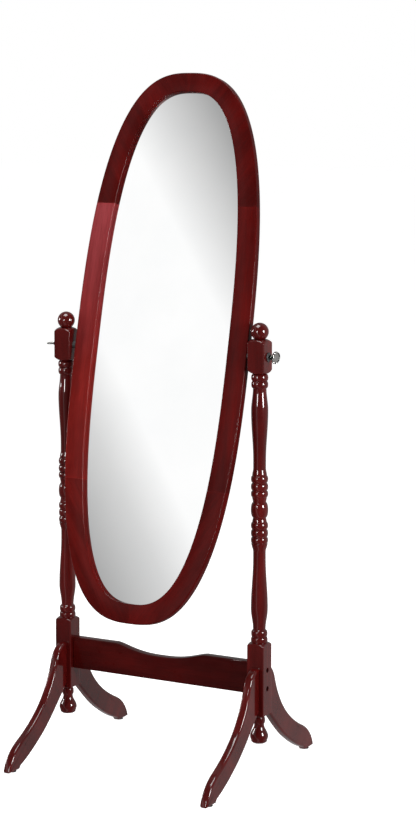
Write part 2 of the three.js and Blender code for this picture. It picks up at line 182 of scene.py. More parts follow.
def cherry_wood(name, grain, stain, gloss, upper=None):
    """Stained and lacquered wood. grain turns the coordinates so that the fibres run along Z.

    upper is (height where a second colour starts, height where it is full, that colour); it paints the wood
    lighter towards the top as painted sheen.
    """
    dark, pale = scaled(stain, 0.42), scaled(stain, 1.5)
    material, tree, shader = new_material(name)
    place = tree.nodes.new("ShaderNodeTexCoord").outputs["Object"]
    across = stretched(tree, place, (1, 1, 0.06), grain)
    fibres = noise(tree, across, 420, 6, 0.62)
    figure = noise(tree, across, 46, 5, 0.6)
    blotches = noise(tree, stretched(tree, place, (1, 1, 0.4), grain), 15, 3, 0.5)
    base = ramp(tree, blotches, [(0.32, scaled(stain, 0.7)), (0.5, stain), (0.72, pale)])
    # painted sheen: the colour is blended towards a lighter one by height
    if upper is not None:
        start, full, sheen_colour = upper
        height = tree.nodes.new("ShaderNodeSeparateXYZ")
        tree.links.new(place, height.inputs["Vector"])
        share = spread(tree, height.outputs["Z"], 0.0, 1.0, start, full)
        base = mix_colour(tree, share, base, sheen_colour)
    figured = mix_colour(tree, spread(tree, figure, 0.0, 0.62), base, dark)
    grained = mix_colour(tree, spread(tree, fibres, 0.0, 0.35, 0.45, 0.75), figured, scaled(stain, 0.25))
    edge_wear_and_painted_reflection = tree.nodes.new("ShaderNodeNewGeometry").outputs["Pointiness"]
    edges = spread(tree, edge_wear_and_painted_reflection, 0.0, 0.35, 0.53, 0.60)
    tree.links.new(mix_colour(tree, edges, grained, pale), shader.inputs["Base Color"])
    haze = noise(tree, place, 60, 3, 0.5)
    tree.links.new(spread(tree, haze, 0.27, 0.40), shader.inputs["Roughness"])
    bump(tree, shader, fibres, 0.10, 0.0002)
    shader.inputs["Specular IOR Level"].default_value = 0.03
    shader.inputs["Coat Weight"].default_value = gloss
    shader.inputs["Coat Roughness"].default_value = 0.05
    shader.inputs["Coat IOR"].default_value = 1.45
    return material


def metal(name, colour, roughness, scratches=0.25):
    material, tree, shader = new_material(name)
    place = tree.nodes.new("ShaderNodeTexCoord").outputs["Object"]
    brushed = noise(tree, stretched(tree, place, (0.1, 1, 1)), 2600, 3, 0.6)
    stains = noise(tree, place, 190, 4, 0.6)
    dull = scaled(colour, 0.72)
    stained = mix_colour(tree, spread(tree, stains, 0.0, 0.5), colour, dull)
    tree.links.new(stained, shader.inputs["Base Color"])
    low, high = roughness
    tree.links.new(spread(tree, stains, low, high), shader.inputs["Roughness"])
    bump(tree, shader, brushed, scratches, 0.00002)
    shader.inputs["Metallic"].default_value = 1.0
    return material


def black_plastic():
    material, tree, shader = new_material("black_plastic")
    place = tree.nodes.new("ShaderNodeTexCoord").outputs["Object"]
    grit = noise(tree, place, 2200, 3, 0.6)
    scuffs = noise(tree, place, 160, 4, 0.6)
    colour = ramp(tree, scuffs, [(0.35, (0.009, 0.009, 0.010)), (0.75, (0.034, 0.033, 0.032))])
    tree.links.new(colour, shader.inputs["Base Color"])
    tree.links.new(spread(tree, scuffs, 0.38, 0.62), shader.inputs["Roughness"])
    bump(tree, shader, grit, 0.25, 0.00005)
    return material


def silvered_glass():
    material, tree, shader = new_material("silvered_glass")
    place = tree.nodes.new("ShaderNodeTexCoord").outputs["Object"]
    film = noise(tree, place, 9, 3, 0.5)
    colour = ramp(tree, film, [(0.3, (0.890, 0.896, 0.897)), (0.7, (0.915, 0.918, 0.917))])
    tree.links.new(colour, shader.inputs["Base Color"])
    tree.links.new(spread(tree, film, 0.006, 0.018), shader.inputs["Roughness"])
    shader.inputs["Metallic"].default_value = 1.0
    return material


def hardboard():
    material, tree, shader = new_material("hardboard")
    place = tree.nodes.new("ShaderNodeTexCoord").outputs["Object"]
    chips = noise(tree, place, 700, 6, 0.7)
    clouds = noise(tree, place, 22, 4, 0.55)
    base = ramp(tree, clouds, [(0.3, (0.150, 0.078, 0.038)), (0.7, (0.225, 0.124, 0.062))])
    speckled = mix_colour(tree, spread(tree, chips, 0.0, 0.55, 0.45, 0.7), base, (0.075, 0.036, 0.018))
    tree.links.new(speckled, shader.inputs["Base Color"])
    tree.links.new(spread(tree, chips, 0.62, 0.85), shader.inputs["Roughness"])
    bump(tree, shader, chips, 0.35, 0.00015)
    return material


def beech():
    material, tree, shader = new_material("beech")
    place = tree.nodes.new("ShaderNodeTexCoord").outputs["Object"]
    flecks = noise(tree, stretched(tree, place, (1, 0.08, 1)), 900, 4, 0.6)
    colour = ramp(tree, flecks, [(0.35, (0.36, 0.21, 0.10)), (0.65, (0.56, 0.37, 0.20))])
    tree.links.new(colour, shader.inputs["Base Color"])
    tree.links.new(spread(tree, flecks, 0.5, 0.7), shader.inputs["Roughness"])
    bump(tree, shader, flecks, 0.2, 0.0001)
    return material


RIM_GLOSS = 0.12
STRETCHER_GLOSS = 0.4
TURNED_GLOSS = 0.85  # the posts and legs
UPRIGHT = (0, 0, 0)
ALONG_X = (0, math.pi / 2, 0)
IN_MIRROR = (LEAN, 0, 0)
post_wood = cherry_wood("cherry_post", UPRIGHT, DEEP_STAIN, TURNED_GLOSS)
leg_wood = {
    "front": cherry_wood("cherry_front_leg", (math.radians(-38), 0, 0), DEEP_STAIN, TURNED_GLOSS),
    "rear": cherry_wood("cherry_rear_leg", (math.radians(38), 0, 0), DEEP_STAIN, TURNED_GLOSS),
}
stretcher_wood = cherry_wood("cherry_stretcher", ALONG_X, scaled(STAIN, 0.75), STRETCHER_GLOSS)
side_wood = {
    # the left side is brighter red than the right, partly lighter wood and partly painted sheen, and turns
    # paler towards its top as painted sheen
    "left": cherry_wood("cherry_rim_left", IN_MIRROR, TONE_AND_SHEEN_STAIN, RIM_GLOSS, (0.86, 1.18, PAINTED_SHEEN)),
    "right": cherry_wood("cherry_rim_right", IN_MIRROR, STAIN, RIM_GLOSS),
}
LEFT_CORNER, RIGHT_CORNER = (LEAN, math.radians(35), 0), (LEAN, math.radians(-35), 0)
corner_wood = {
    "top_left": cherry_wood("cherry_rim_top_left", LEFT_CORNER, scaled(STAIN, 0.85), RIM_GLOSS),
    "top_right": cherry_wood("cherry_rim_top_right", RIGHT_CORNER, scaled(STAIN, 0.9), RIM_GLOSS),
    # the bottom left piece is blended up into the left side's brighter red, partly lighter wood and partly
    # painted sheen
    "bottom_left": cherry_wood(
        "cherry_rim_bottom_left", LEFT_CORNER, STAIN, RIM_GLOSS, (0.36, 0.58, TONE_AND_SHEEN_STAIN)
    ),
    "bottom_right": cherry_wood("cherry_rim_bottom_right", RIGHT_CORNER, STAIN, RIM_GLOSS),
}


def thumbscrew_nickel():
    """Bright nickel, blackened on the collar, with a painted dark reflection along the grip's edges around
    its hollows.
    """
    material = metal("nickel", (0.84, 0.83, 0.80), (0.14, 0.24))
    tree = material.node_tree
    shader = tree.nodes["Principled BSDF"]
    bright = shader.inputs["Base Color"].links[0].from_socket
    place = tree.nodes.new("ShaderNodeTexCoord").outputs["Object"]
    parts = tree.nodes.new("ShaderNodeSeparateXYZ")
    tree.links.new(place, parts.inputs["Vector"])
    outward = tree.nodes.new("ShaderNodeMath")
    outward.operation = "ABSOLUTE"
    tree.links.new(parts.outputs["X"], outward.inputs[0])
    hub = spread(tree, outward.outputs["Value"], 1.0, 0.0, 0.2675, 0.2690)
    blackened = mix_colour(tree, hub, bright, (0.020, 0.021, 0.020))
    # painted dark reflection: the grip's sharp edges are painted near black
    edge_wear_and_painted_reflection = tree.nodes.new("ShaderNodeNewGeometry").outputs["Pointiness"]
    border = spread(tree, edge_wear_and_painted_reflection, 0.0, 0.9, 0.505, 0.53)
    tree.links.new(mix_colour(tree, border, blackened, (0.030, 0.034, 0.030)), shader.inputs["Base Color"])
    return material


nickel = thumbscrew_nickel()
zinc = metal("zinc", (0.55, 0.56, 0.58), (0.28, 0.42), 0.5)
black_steel = metal("black_steel", (0.022, 0.021, 0.021), (0.32, 0.48), 0.3)
plastic = black_plastic()
silver = silvered_glass()
board = hardboard()
dowel_wood = beech()

# ---- Mesh helpers -------------------------------------------------------------------------------


def new_object(name, points, faces):
    mesh = bpy.data.meshes.new(name)
    mesh.from_pydata(points, [], faces)
    mesh.validate()
    obj = bpy.data.objects.new(name, mesh)
    bpy.context.scene.collection.objects.link(obj)
    return obj


def rings_to_faces(ring_count, ring_size, closed_ends):
    """Quads between successive rings of points, with a flat cap on each end if closed_ends."""
    faces = []
    for i in range(ring_count - 1):
        for k in range(ring_size):
            after = (k + 1) % ring_size
            below, above = i * ring_size, (i + 1) * ring_size
            faces.append((below + k, below + after, above + after, above + k))
    if closed_ends:
        last = (ring_count - 1) * ring_size
        faces.append(tuple(range(ring_size - 1, -1, -1)))
        faces.append(tuple(range(last, last + ring_size)))
    return faces


def box_mesh(width, depth, height):
    """Corners and faces of a box about the origin, for a cutter."""
    x, y, z = width / 2, depth / 2, height / 2
    corners = [(-x, -y, -z), (x, -y, -z), (x, y, -z), (-x, y, -z)]
    corners += [(cx, cy, z) for cx, cy, _ in corners]
    return corners, rings_to_faces(2, 4, True)


def turning(name, profile, axis="Z", segments=48):
    """A turned piece about an axis through the origin, from [(radius, along), ...] in metres."""
    to_axis = {
        "X": Matrix.Rotation(math.pi / 2, 4, "Y"),
        "Y": Matrix.Rotation(-math.pi / 2, 4, "X"),
        "Z": Matrix.Identity(4),
    }[axis]
    points = []
    for radius, along in profile:
        for k in range(segments):
            turn = 2 * math.pi * k / segments
            points.append(to_axis @ Vector((radius * math.cos(turn), radius * math.sin(turn), along)))
    return new_object(name, points, rings_to_faces(len(profile), segments, True))


def inset(outline, distance):
    """A closed outline moved inwards. The outline runs anticlockwise."""
    moved = []
    for i, here in enumerate(outline):
        before, after = outline[i - 1], outline[(i + 1) % len(outline)]
        first, second = (here - before).normalized(), (after - here).normalized()
        inward = Vector((-first.y - second.y, first.x + second.x))
        share = max(0.3, inward.length_squared / 2)
        moved.append(here + inward * (distance / share))
    return moved


def plate(name, outline, thickness, edge, steps=5):
    """A flat piece in the XY plane, centred on it, with its edges rounded over."""
    layers = []
    for k in range(steps + 1):
        turn = math.pi / 2 * k / steps
        layers.append((edge * (1 - math.sin(turn)), thickness / 2 - edge + edge * math.cos(turn)))
    levels = [(shift, -height) for shift, height in layers] + [
        (shift, height) for shift, height in reversed(layers)
    ]
    points = []
    for shift, height in levels:
        points += [Vector((p.x, p.y, height)) for p in inset(outline, shift)]
    return new_object(name, points, rings_to_faces(len(levels), len(outline), True))


def moved(obj, matrix):
    obj.data.transform(matrix)
    if matrix.determinant() < 0:
        obj.data.flip_normals()
    return obj


def combined(obj, others, operation):
    """obj after a boolean with each of the others. The others are used up."""
    for other in others:
        modifier = obj.modifiers.new("combine", "BOOLEAN")
        modifier.operation = operation
        modifier.solver = "EXACT"
        modifier.object = other
    bpy.context.view_layer.update()
    shape = bpy.data.meshes.new_from_object(obj.evaluated_get(bpy.context.evaluated_depsgraph_get()))
    obj.modifiers.clear()
    obj.data = shape
    for other in others:
        bpy.data.objects.remove(other)
    return obj


def drilled(obj, cutters):
    return combined(obj, cutters, "DIFFERENCE")


def drill(axis, radius, start, end, place):
    """A round cutter along an axis, from start to end, in metres."""
    low, high = sorted((start, end))
    bit = turning("drill", [(radius, low), (radius, high)], axis, 32)
    return moved(bit, Matrix.Translation(place))


def finish_piece(obj, node, body, material):
    """Names the piece after the node it stands for, and hands it to the frame."""
    obj.name = f"{node}_look"
    obj.data.materials.clear()
    obj.data.materials.append(material)
    obj.data.shade_smooth()
    obj.data.set_sharp_from_angle(angle=SHARP_ANGLE)
    for face in obj.data.polygons:
        if len(face.vertices) > 4:
            face.use_smooth = False
    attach(obj, body)
    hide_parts(node)
    return obj


# ---- Posts --------------------------------------------------------------------------------------


def bead(bottom, top, root, crest, steps=14):
    points = []
    for i in range(steps + 1):
        turn = math.pi * i / steps
        along = (bottom + top) / 2 - (top - bottom) / 2 * math.cos(turn)
        points.append((root + (crest - root) * math.sin(turn), along))
    return points


def swell(from_along, from_radius, to_along, to_radius, steps=18):
    points = []
    for i in range(1, steps + 1):
        share = i / steps
        eased = (1 - math.cos(math.pi * share)) / 2
        radius = from_radius + (to_radius - from_radius) * eased
        points.append((radius, from_along + (to_along - from_along) * share))
    return points


def ball(centre, radius, lowest_degrees, steps=24):
    points = []
    for i in range(steps + 1):
        lift = math.radians(lowest_degrees + (89 - lowest_degrees) * i / steps)
        points.append((radius * math.cos(lift), centre + radius * math.sin(lift)))
    return points


CORE = 12  # the turned core inside the square blocks
BLOCKS = (  # bottom, top, length of the bottom and the top shoulder
    (135, 290, 0, 7),
    (861, 934, 10, 10),
)
TURNED_PROFILE = [  # radius, height, in millimetres
    (11.2, 73),
    (13.6, 73.6),
    (16.9, 76.4),
    *swell(76.4, 16.9, 87, 19.4, 6),
    *swell(87, 19.4, 112, 10.6, 14),
    *bead(114, 129, 10.8, 12.8),
    (CORE, 132),
    (CORE, 287),
    *bead(288, 301, 15.4, 17.8),
    *bead(301.6, 315, 15.4, 17.4),
    (13.4, 317),
    *swell(317, 13.4, 362, 18.1),
    *swell(362, 18.1, 470, 13.4),
    (13.4, 483),
    *swell(483, 13.4, 501, 17.2, 10),
    *bead(502, 514, 16.2, 18.2),
    *bead(515.5, 530.5, 15.6, 18.2),
    *bead(532, 546, 15.6, 18.2),
    *swell(546, 15.6, 555, 14.2, 6),
    *bead(557, 588, 14.2, 18.4, 20),
    *swell(590, 14.2, 599, 15.6, 6),
    *bead(600, 613, 15.6, 18.3),
    *bead(614.5, 629, 15.6, 18.3),
    *bead(631, 645, 15.6, 18.2),
    *swell(646, 15.6, 661, 13.5, 8),
    (13.5, 676),
    *swell(676, 13.5, 783, 18.1),
    *swell(783, 18.1, 830, 14.3),
    *bead(831, 845.5, 15.2, 17.9),
    *bead(846, 860, 15.2, 18.1),
    (CORE, 862),
    (CORE, 933.9),
    *ball(949.5, 19, -55),
]
STEP = 0.02  # a sawn face is drawn by two rings this far apart


def turned_radius(height):
    """The turned profile's radius at a height."""
    for (low_radius, low), (high_radius, high) in zip(TURNED_PROFILE, TURNED_PROFILE[1:]):
        if low <= height <= high:
            share = (height - low) / (high - low) if high > low else 0
            return low_radius + (high_radius - low_radius) * share
    return TURNED_PROFILE[-1][0]


def square_radius(turn, half=19.5, corner=1.3):
    """How far a square with softened corners reaches in a direction."""
    folded = math.pi / 4 - abs(turn % (math.pi / 2) - math.pi / 4)
    if math.tan(folded) <= (half - corner) / half:
        return half / math.cos(folded)
    straight = half - corner
    along = straight * (math.cos(folded) + math.sin(folded))
    return along + math.sqrt(along**2 - 2 * straight**2 + corner**2)


def block_radius(turn, height):
    """How far a square block reaches, with its ends turned to a rounded shoulder."""
    for bottom, top, low_shoulder, high_shoulder in BLOCKS:
        if not bottom <= height <= top:
            continue
        envelope = 40
        for distance, shoulder in ((height - bottom, low_shoulder), (top - height, high_shoulder)):
            if shoulder and distance < shoulder:
                share = distance / shoulder
                envelope = min(envelope, 14.5 + 13.3 * (1 - (1 - share) ** 1.5) ** 0.8)
        return min(envelope, square_radius(turn))
    return 0


def post_turns():
    """Directions around a post, closer together at the block's corners."""
    turns = []
    for quarter in range(4):
        steps = [90 * i / 18 for i in range(18)] + [42.9, 44.0, 46.0, 47.1]
        turns += [math.radians(90 * quarter + step) for step in sorted(steps)]
    return turns


def post_heights():
    heights = {height for _, height in TURNED_PROFILE}
    for bottom, top, low_shoulder, high_shoulder in BLOCKS:
        heights |= {bottom - STEP, bottom, top, top + STEP}
        heights |= {bottom + low_shoulder * i / 10 for i in range(11)}
        heights |= {top - high_shoulder * i / 10 for i in range(11)}
    return sorted(heights)


def build_post(side):
    x = SIDES[side] * post_x
    turns, heights = post_turns(), post_heights()
    points = []
    for height in heights:
        for turn in turns:
            reach = max(turned_radius(height), block_radius(turn, height)) * MM
            points.append((reach * math.cos(turn), reach * math.sin(turn), height * MM))
    post = new_object(f"{side}_post", points, rings_to_faces(len(heights), len(turns), True))
    moved(post, Matrix.Translation((x, 0, 0)))
    face = SIDES[side] * half_block
    cutters = [drill("X", PIVOT_BORE, -face * 1.1, face * 1.1, (x, 0, pivot.z))]
    for level in ("lower", "upper"):
        bolt = centre_of(f"{side}_{level}_stretcher_bolt")
        head_seat = SIDES[side] * 10.5 * MM
        cutters.append(drill("X", BOLT_BORE, -face * 1.1, face, (x, 0, bolt.z)))
        cutters.append(drill("X", BOLT_HEAD_SEAT, head_seat, face * 1.1, (x, 0, bolt.z)))
        for end, direction in ENDS.items():
            dowel_low, dowel_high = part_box(f"{end}_{side}_{level}_dowel")
            inner = min(abs(dowel_low.y), abs(dowel_high.y)) - GAP
            height = (dowel_low.z + dowel_high.z) / 2
            outer = half_block + MM
            cutters.append(drill("Y", DOWEL_BORE, direction * inner, direction * outer, (x, 0, height)))
    drilled(post, cutters)
    finish_piece(post, f"{side}_post", "stand", post_wood)


# ---- Legs and glides ----------------------------------------------------------------------------


def bezier(start, control_a, control_b, end, steps=14):
    """Points along a curve after its start, up to its end."""
    a, b, c, d = (Vector(p) for p in (start, control_a, control_b, end))
    points = []
    for i in range(1, steps + 1):
        t = i / steps
        points.append(a * (1 - t) ** 3 + 3 * b * t * (1 - t) ** 2 + 3 * c * t**2 * (1 - t) + d * t**3)
    return points


def leg_outline():
    """A leg's outline in metres, as (reach from the post's axis, height), anticlockwise."""
    back = [Vector((13.5, 237)), Vector((24, 236.5))]
    back += bezier((24, 236.5), (40, 233), (51, 221), (58, 206))
    back += bezier((58, 206), (78, 144), (118, 97), (199, 60), 20)
    back += bezier((199, 60), (224, 48), (242, 30), (249, 5.5))
    sole = [Vector((247.6, 2.8)), Vector((209, 2.5)), Vector((204, 8.6))]
    belly = bezier((204, 8.6), (182, 16), (152, 32), (128, 48))
    belly += bezier((128, 48), (88, 72), (48, 116), (19.5, 141), 20)
    clockwise = back + sole + belly + [Vector((13.5, 141))]
    return [point * MM for point in reversed(clockwise)]


def build_leg(end, side):
    node = f"{end}_{side}_leg"
    low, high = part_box(node)
    leg = plate(node, leg_outline(), high.x - low.x, 4.6 * MM, 7)
    upright = Matrix.Rotation(math.pi / 2, 4, "Z") @ Matrix.Rotation(math.pi / 2, 4, "X")
    moved(leg, upright)
    reach_start = half_block + GAP
    trimmer = new_object("trimmer", *box_mesh(0.05, 2 * reach_start, 0.5))
    cutters = [moved(trimmer, Matrix.Translation((0, 0, 0.2)))]
    for level in ("lower", "upper"):
        dowel_low, dowel_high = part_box(f"{end}_{side}_{level}_dowel")
        depth = max(abs(dowel_low.y), abs(dowel_high.y)) + GAP
        height = (dowel_low.z + dowel_high.z) / 2
        cutters.append(drill("Y", DOWEL_BORE, half_block, depth, (0, 0, height)))
    glide = centre_of(f"{end}_{side}_foot_glide")
    cutters.append(drill("Z", GLIDE_PIN_BORE, 0, 18 * MM, (0, abs(glide.y), 0)))
    drilled(leg, cutters)
    turn = 0 if end == "rear" else math.pi
    moved(leg, Matrix.Translation((SIDES[side] * post_x, 0, 0)) @ Matrix.Rotation(turn, 4, "Z"))
    finish_piece(leg, node, "stand", leg_wood[end])


def build_glide(end, side):
    node = f"{end}_{side}_foot_glide"
    middle = centre_of(node)
    profile = [(6.6, 0), (7.4, 0.3), (8, 1), (8, 1.8), (7.6, 2.2), (2.2, 2.2), (2.2, 14), (0.4, 16)]
    glide = turning(node, [(radius * MM, along * MM) for radius, along in profile], "Z", 40)
    moved(glide, Matrix.Translation((middle.x, middle.y, 0)))
    finish_piece(glide, node, "stand", plastic)


# ---- Stretcher and its bolts --------------------------------------------------------------------


def stretcher_outline():
    """The board's outline as (x, z): a flat bottom and a shallow dip in the top."""
    end, bottom, top = stretcher_high.x, stretcher_low.z, stretcher_high.z
    dip, half_length, shoulder = 17 * MM, 97 * MM, 14 * MM
    top_edge = []
    steps = 48
    for i in range(steps + 1):
        x = half_length + shoulder - 2 * (half_length + shoulder) * i / steps
        share = min(1.0, abs(x) / (half_length + shoulder))
        top_edge.append(Vector((x, top - dip * (1 - share**2.6) ** 1.5)))
    right_end = [Vector((end, bottom)), Vector((end, top))]
    return [Vector((-end, bottom)), *right_end, *top_edge, Vector((-end, top))]


def build_stretcher():
    thickness = stretcher_high.y - stretcher_low.y
    board_piece = plate("stretcher", stretcher_outline(), thickness, 1.8 * MM, 4)
    moved(board_piece, Matrix.Rotation(math.pi / 2, 4, "X"))
    cutters = []
    for side, outward in SIDES.items():
        for level in ("lower", "upper"):
            nut = centre_of(f"{side}_{level}_barrel_nut")
            bolt_tip = outward * 186 * MM
            cutters.append(drill("X", BOLT_BORE, bolt_tip, outward * post_x, (0, 0, nut.z)))
            cutters.append(drill("Y", BARREL_NUT_BORE, -7 * MM, 20 * MM, (nut.x, 0, nut.z)))
    drilled(board_piece, cutters)
    finish_piece(board_piece, "stretcher", "stand", stretcher_wood)


def build_stretcher_bolt(side, level):
    node = f"{side}_{level}_stretcher_bolt"
    low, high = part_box(node)
    outward = SIDES[side]
    length = high.x - low.x
    neck = length - 6 * MM
    profile = [(2.4 * MM, 0), (3 * MM, MM), (3 * MM, neck), (5 * MM, neck), (5 * MM, length - 0.5 * MM)]
    bolt = turning(node, [*profile, (4.6 * MM, length)], "X", 32)
    socket = turning("socket", [(2.9 * MM, length - 4 * MM), (2.9 * MM, length + MM)], "X", 6)
    drilled(bolt, [socket])
    start = low.x if outward > 0 else high.x
    facing = Matrix.Rotation(0 if outward > 0 else math.pi, 4, "Z")
    moved(bolt, Matrix.Translation((start, 0, (low.z + high.z) / 2)) @ facing)
    finish_piece(bolt, node, "stand", black_steel)


def build_barrel_nut(side, level):
    node = f"{side}_{level}_barrel_nut"
    low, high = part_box(node)
    radius, end_radius, chamfer = 5 * MM, 4.6 * MM, 0.4 * MM
    lower_end = [(end_radius, low.y), (radius, low.y + chamfer)]
    profile = [*lower_end, (radius, high.y - chamfer), (end_radius, high.y)]
    nut = turning(node, profile, "Y", 32)
    slot_cut = new_object("slot", *box_mesh(0.012, 0.003, 0.0014))
    moved(slot_cut, Matrix.Translation((0, high.y, 0)))
    drilled(nut, [slot_cut, drill("X", BOLT_BORE, -8 * MM, 8 * MM, (0, 0, 0))])
    moved(nut, Matrix.Translation(((low.x + high.x) / 2, 0, (low.z + high.z) / 2)))
    finish_piece(nut, node, "stand", zinc)


# ---- Rim ----------------------------------------------------------------------------------------

RIM_HALF_WIDTH = 211.2 * MM
RIM_HALF_HEIGHT = 595.8 * MM
FACE_SIDES = 46.5 * MM
FACE_ENDS = 41.6 * MM
OVAL_POWER = 2.7  # 2 is an ellipse, more is squarer
RIM_JOINT = 303 * MM
SEAM = 0.05 * MM
RABBET = 9 * MM
HALF_THICKNESS = 9 * MM
LIP_BACK = -2 * MM  # the rabbet's floor, measured from the middle of the rim's thickness
OVALS = {  # half width and half height of the outer edge, the opening and the rabbet
    "outer": (RIM_HALF_WIDTH, RIM_HALF_HEIGHT),
    "opening": (RIM_HALF_WIDTH - FACE_SIDES, RIM_HALF_HEIGHT - FACE_ENDS),
    "rabbet": (RIM_HALF_WIDTH - FACE_SIDES + RABBET, RIM_HALF_HEIGHT - FACE_ENDS + RABBET),
}


def on_oval(size, turn):
    bend = 2 / OVAL_POWER
    return Vector((size[0] * math.cos(turn) ** bend, size[1] * math.sin(turn) ** bend))


def turn_at_height(size, height):
    return math.asin((height / size[1]) ** (OVAL_POWER / 2))


def turn_at_width(size, width):
    return math.acos((width / size[0]) ** (OVAL_POWER / 2))


def width_at_height(size, height):
    return size[0] * (1 - (abs(height) / size[1]) ** OVAL_POWER) ** (1 / OVAL_POWER)


def section_plan():
    """The rim's section, as (oval, distance inwards from it, height), anticlockwise about the sweep."""
    front_edge, lip_edge, back_edge, steps = 2.6 * MM, 1.6 * MM, 1.5 * MM, 6
    plan = []
    for k in range(steps + 1):
        turn = math.pi / 2 * k / steps
        shift = back_edge * (1 - math.sin(turn))
        plan.append(("outer", shift, -HALF_THICKNESS + back_edge * (1 - math.cos(turn))))
    for k in range(steps + 1):
        turn = math.pi / 2 * k / steps
        drop = front_edge * (1 - math.sin(turn))
        plan.append(("outer", front_edge * (1 - math.cos(turn)), HALF_THICKNESS - drop))
    for k in range(steps + 1):
        turn = math.pi / 2 * k / steps
        drop = lip_edge * (1 - math.cos(turn))
        plan.append(("opening", -lip_edge * (1 - math.sin(turn)), HALF_THICKNESS - drop))
    plan.append(("opening", 0, LIP_BACK))
    plan.append(("rabbet", 0, LIP_BACK))
    plan.append(("rabbet", 0, -HALF_THICKNESS))
    return plan


def rim_sections(kind, steps):
    """For each section along a rim piece, the point where each oval crosses it."""
    sections = []
    for i in range(steps + 1):
        share = i / steps
        section = {}
        for name, size in OVALS.items():
            if kind == "side":
                height = (2 * share - 1) * (RIM_JOINT - SEAM)
                section[name] = Vector((width_at_height(size, height), height))
            else:
                start, end = turn_at_height(size, RIM_JOINT + SEAM), turn_at_width(size, SEAM)
                section[name] = on_oval(size, start + (end - start) * share)
        sections.append(section)
    return sections


def build_rim_piece(node, kind, across, upward, material):
    sections = rim_sections(kind, 90 if kind == "side" else 120)
    plan = section_plan()
    points = []
    for section in sections:
        inward = (section["opening"] - section["outer"]).normalized()
        for oval, distance, height in plan:
            flat = section[oval] + inward * distance
            points.append((flat.x, flat.y, height))
    piece = new_object(node, points, rings_to_faces(len(sections), len(plan), True))
    piece.data.flip_normals()
    moved(piece, Matrix.Diagonal((across, upward, 1, 1)))
    cutters = []
    if kind == "side":
        bore_end = RIM_HALF_WIDTH - 17 * MM
        low_end, high_end = across * bore_end, across * (RIM_HALF_WIDTH + MM)
        cutters.append(drill("X", INSERT_BORE, low_end, high_end, (0, -CENTRE_ABOVE_PIVOT, 0)))
    for index in range(1, 7):
        flat = MIRROR_PLANE.inverted() @ centre_of(f"clip_screw_{index}")
        same_kind = (abs(flat.y) < RIM_JOINT) == (kind == "side")
        same_level = kind == "side" or flat.y * upward > 0
        if same_kind and same_level and flat.x * across > 0:
            cutters.append(drill("Z", CLIP_SCREW_BORE, -10 * MM, 2 * MM, (flat.x, flat.y, 0)))
    drilled(piece, cutters)
    moved(piece, MIRROR_PLANE)
    finish_piece(piece, node, "mirror", material)


# ---- Glass, board and what holds them -----------------------------------------------------------


def full_oval(size, quarter_steps=80):
    quarter = [on_oval(size, math.pi / 2 * i / quarter_steps) for i in range(quarter_steps + 1)]
    upper_left = [Vector((-p.x, p.y)) for p in reversed(quarter[:-1])]
    upper = quarter + upper_left
    lower = [Vector((p.x, -p.y)) for p in reversed(upper[1:-1])]
    return upper + lower


def build_sheet(node, front, thickness, material, edge):
    overlap = RABBET - 0.6 * MM
    width, height = OVALS["opening"]
    outline = full_oval((width + overlap, height + overlap))
    sheet = plate(node, outline, thickness, edge, 2)
    moved(sheet, MIRROR_PLANE @ Matrix.Translation((0, 0, front - thickness / 2)))
    finish_piece(sheet, node, "mirror", material)


def build_clip(index):
    node = f"retaining_clip_{index}"
    place = MIRROR_PLANE.inverted() @ centre_of(f"clip_screw_{index}")
    half_width, reach, thickness = 5 * MM, 20 * MM, 1.2 * MM
    outline = []
    for centre, start in ((0, -90), (-reach, 90)):
        for k in range(17):
            turn = math.radians(start + 180 * k / 16)
            outline.append(Vector((centre + half_width * math.cos(turn), half_width * math.sin(turn))))
    clip = plate(node, outline, thickness, 0.35 * MM, 3)
    drilled(clip, [drill("Z", CLIP_SCREW_BORE, -2 * MM, 2 * MM, (0, 0, 0))])
    middle = -HALF_THICKNESS - GAP - thickness / 2
    facing = Matrix.Rotation(math.atan2(place.y, place.x * 3), 4, "Z")
    moved(clip, MIRROR_PLANE @ Matrix.Translation((place.x, place.y, middle)) @ facing)
    finish_piece(clip, node, "mirror", zinc)


def build_clip_screw(index):
    """A pan-head screw with a crossed recess."""
    node = f"clip_screw_{index}"
    place = MIRROR_PLANE.inverted() @ centre_of(node)
    under_head = -10.8
    head = [(0.4, -12.8), (2.0, -12.6), (3.1, -12), (3.5, under_head)]
    profile = [*head, (1.4, under_head), (1.4, -1), (0.3, 1)]
    screw = turning(node, [(radius * MM, along * MM) for radius, along in profile], "Z", 28)
    cuts = []
    for turn in (0, math.pi / 2):
        recess = new_object("recess", *box_mesh(3.4 * MM, 0.8 * MM, 2.4 * MM))
        at_head = Matrix.Translation((0, 0, -12.9 * MM))
        cuts.append(moved(recess, at_head @ Matrix.Rotation(turn, 4, "Z")))
    drilled(screw, cuts)
    moved(screw, MIRROR_PLANE @ Matrix.Translation((place.x, place.y, 0)))
    finish_piece(screw, node, "mirror", zinc)


# ---- Pivot hardware -----------------------------------------------------------------------------


def build_ring(node, body, outer, inner, edge):
    low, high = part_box(node)
    profile = [(outer - edge, low.x), (outer, low.x + edge), (outer, high.x - edge), (outer - edge, high.x)]
    piece = turning(node, profile, "X", 48)
    drilled(piece, [drill("X", inner, low.x - MM, high.x + MM, (0, 0, 0))])
    moved(piece, Matrix.Translation((0, 0, pivot.z)))
    finish_piece(piece, node, body, plastic)


# Degrees: the left grip lies flat, the right one stands nearly upright
GRIP_TURN = {"left": 90, "right": -20}


def grip_outline(start, end):
    """The rounded spade of a thumb screw's grip, from its neck to its end."""
    widest = start + 10 * MM
    rounded_end = widest + 4 / 3 * (end - widest)
    half, neck = 13.5 * MM, 5 * MM
    outline = [Vector((start, -neck))]
    outline += bezier((start, -neck), (start + 3 * MM, -13 * MM), (start + 7 * MM, -half), (widest, -half))
    outline += bezier((widest, -half), (rounded_end, -11 * MM), (rounded_end, 11 * MM), (widest, half), 28)
    outline += bezier((widest, half), (start + 7 * MM, half), (start + 3 * MM, 13 * MM), (start, neck))
    return outline


